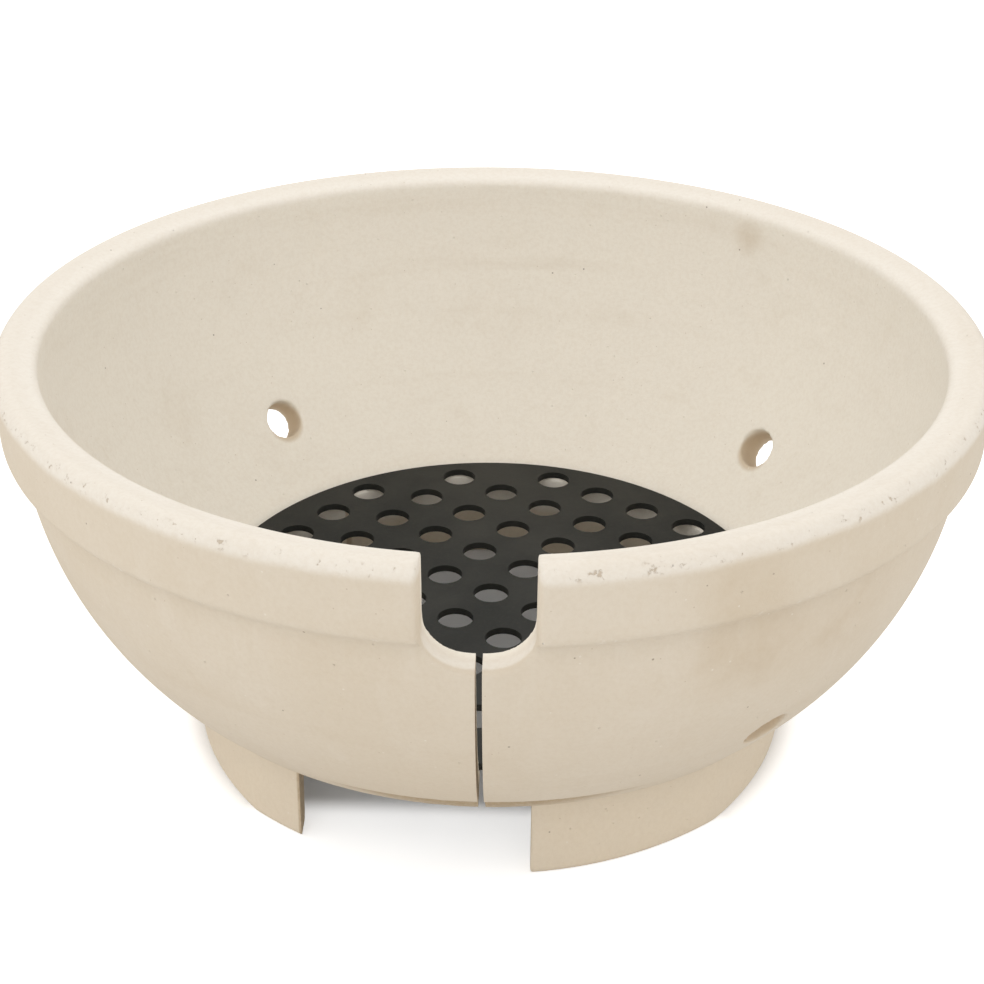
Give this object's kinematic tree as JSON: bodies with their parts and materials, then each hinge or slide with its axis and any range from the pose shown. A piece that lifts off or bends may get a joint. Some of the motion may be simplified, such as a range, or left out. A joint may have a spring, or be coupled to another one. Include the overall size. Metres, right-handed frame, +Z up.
{
  "type": "kamado grill fire bowl",
  "caption": "Round ceramic fire bowl for a kamado grill, open at the bottom, with a notched and slit front, a foot ring with an air door, and a loose perforated charcoal plate.",
  "frame": {"origin": "on the bowl's axis, in the plane that the foot ring stands on", "axes": "+Z up along the bowl's axis; the rim notch, the slit and the air door face -Y"},
  "size_m": [0.5084, 0.5074, 0.2286],
  "materials": {
    "refractory_ceramic": "matte, unglazed, cast",
    "coated_steel": "satin, heat resistant coating"
  },
  "bodies": {
    "bowl": {"fire_bowl": "refractory_ceramic"},
    "plate": {"charcoal_plate": "coated_steel"}
  },
  "joints": [
    {"name": "plate_lift", "type": "slide", "parent": "bowl", "child": "plate", "axis": [0, 0, 1], "range_m": [0, 0.2]}
  ]
}
